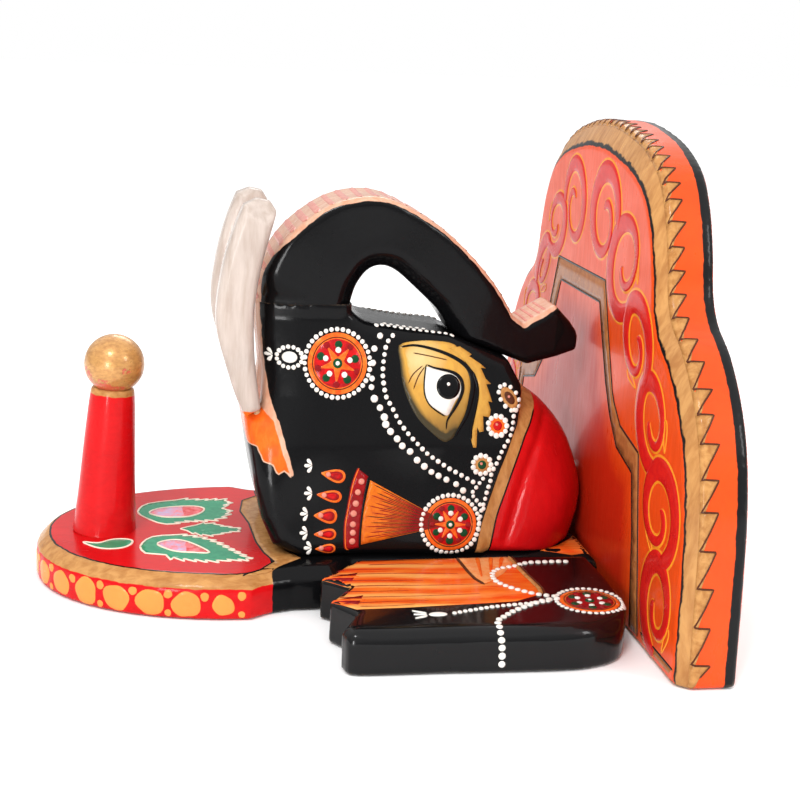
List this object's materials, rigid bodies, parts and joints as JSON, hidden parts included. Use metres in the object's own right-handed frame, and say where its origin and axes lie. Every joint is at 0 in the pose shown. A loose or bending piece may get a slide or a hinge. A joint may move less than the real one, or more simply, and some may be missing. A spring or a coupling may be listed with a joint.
{
  "type": "wall bracket shelf",
  "caption": "Painted wooden wall bracket: an elephant head with raised trunk, tusks and flat ears between a lobed shelf board and a round board end with a ball-topped hanging peg.",
  "frame": {"origin": "middle of the wall face's bounding rectangle, on the wall face, which is the face it lies on", "axes": "+Z out of the wall; +X from the peg end to the shelf, which is up when it hangs; Y across, with the mirror plane at Y = 0"},
  "size_m": [0.2656, 0.296, 0.202],
  "materials": {
    "board_paint": "glossy red lacquer with painted gold, orange and green ornament",
    "shelf_paint": "glossy orange lacquer with red scrolls and a gold zigzag border",
    "head_paint": "glossy black lacquer with painted pearls, medallions and a red forehead",
    "trunk_paint": "satin black lacquer, peach with pink bars on the outside of the curve",
    "tusk_paint": "satin off-white paint with brushed streaks",
    "ear_paint": "glossy black lacquer with orange feathered stripes and white pearls",
    "peg_paint": "glossy red lacquer",
    "ball_paint": "worn gold paint over red",
    "bare_wood": "unfinished",
    "screw_steel": "zinc plated"
  },
  "bodies": {
    "root": {"back_board": "board_paint", "shelf_board": "shelf_paint", "head_block": "head_paint", "trunk": "trunk_paint", "tusk_left": "tusk_paint", "tusk_right": "tusk_paint", "ear_left": "ear_paint", "ear_right": "ear_paint", "peg_post": "peg_paint", "peg_ball": "ball_paint", "ball_dowel": "bare_wood", "trunk_dowel": "bare_wood", "tusk_pin_left": "bare_wood", "tusk_pin_right": "bare_wood", "ear_dowels_left": "bare_wood", "ear_dowels_right": "bare_wood", "head_screws": "screw_steel", "shelf_screws": "screw_steel", "hanger_plate": "screw_steel", "hanger_screws": "screw_steel"}
  },
  "joints": []
}
